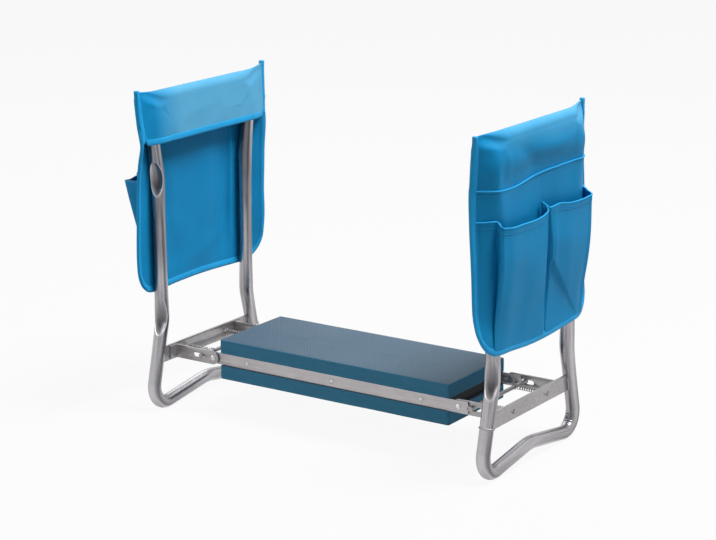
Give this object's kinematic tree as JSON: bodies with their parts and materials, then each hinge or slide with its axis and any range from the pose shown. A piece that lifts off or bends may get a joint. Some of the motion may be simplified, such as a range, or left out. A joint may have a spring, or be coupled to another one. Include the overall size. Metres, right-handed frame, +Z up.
{
  "type": "folding garden kneeler",
  "caption": "Foam-padded kneeling platform between two folding bent-tube end frames, with sprung lock rods and lift-off cloth tool pouches.",
  "frame": {"origin": "on the floor, below the middle of the platform", "axes": "+X along the platform from the left frame to the right frame, +Y from the front rail to the rear rail, +Z up"},
  "size_m": [0.619, 0.3, 0.4909],
  "materials": {
    "pad_foam": "matte",
    "board_core": "matte",
    "rail_steel": "satin",
    "tube_steel": "satin",
    "plate_steel": "satin",
    "bright_fasteners": "gloss",
    "bright_rods": "gloss",
    "pouch_cloth": "matte",
    "binding_tape": "satin"
  },
  "bodies": {
    "platform": {"upper_pad": "pad_foam", "lower_pad": "pad_foam", "platform_board": "board_core", "front_rail": "rail_steel", "rear_rail": "rail_steel", "front_rail_screws": "bright_fasteners", "rear_rail_screws": "bright_fasteners", "left_pivot_rivets": "bright_fasteners", "right_pivot_rivets": "bright_fasteners", "left_pivot_washers": "bright_fasteners", "right_pivot_washers": "bright_fasteners"},
    "left_frame": {"left_frame_tube": "tube_steel", "left_crossbar": "plate_steel", "left_front_arm": "plate_steel", "left_rear_arm": "plate_steel", "left_arm_rivets": "bright_fasteners", "left_weld_beads": "tube_steel", "left_front_spring": "bright_rods", "left_rear_spring": "bright_rods"},
    "left_rod": {"left_lock_rod": "bright_rods"},
    "left_pouch": {"left_pouch_cover": "pouch_cloth", "left_flat_pocket": "pouch_cloth", "left_gusset_pockets": "pouch_cloth", "left_pouch_binding": "binding_tape"},
    "right_frame": {"right_frame_tube": "tube_steel", "right_crossbar": "plate_steel", "right_front_arm": "plate_steel", "right_rear_arm": "plate_steel", "right_arm_rivets": "bright_fasteners", "right_weld_beads": "tube_steel", "right_front_spring": "bright_rods", "right_rear_spring": "bright_rods"},
    "right_rod": {"right_lock_rod": "bright_rods"},
    "right_pouch": {"right_pouch_cover": "pouch_cloth", "right_flat_pocket": "pouch_cloth", "right_gusset_pockets": "pouch_cloth", "right_pouch_binding": "binding_tape"}
  },
  "joints": [
    {"name": "left_fold", "type": "hinge", "parent": "platform", "child": "left_frame", "pos_m": [-0.2135, 0, 0.084], "axis": [0, -1, 0], "range_deg": [-94, 0]},
    {"name": "left_latch", "type": "slide", "parent": "left_frame", "child": "left_rod", "axis": [-1, 0, 0], "range_m": [-0.0024, 0.012], "stiffness_N_per_m": 300, "springref_m": -0.006, "deforming": ["left_front_spring", "left_rear_spring"]},
    {"name": "left_pouch_lift", "type": "slide", "parent": "left_frame", "child": "left_pouch", "axis": [0, 0, 1], "range_m": [0, 0.31]},
    {"name": "right_fold", "type": "hinge", "parent": "platform", "child": "right_frame", "pos_m": [0.2135, 0, 0.084], "axis": [0, 1, 0], "range_deg": [-84, 0]},
    {"name": "right_latch", "type": "slide", "parent": "right_frame", "child": "right_rod", "axis": [1, 0, 0], "range_m": [-0.0024, 0.012], "stiffness_N_per_m": 300, "springref_m": -0.006, "deforming": ["right_front_spring", "right_rear_spring"]},
    {"name": "right_pouch_lift", "type": "slide", "parent": "right_frame", "child": "right_pouch", "axis": [0, 0, 1], "range_m": [0, 0.31]}
  ]
}
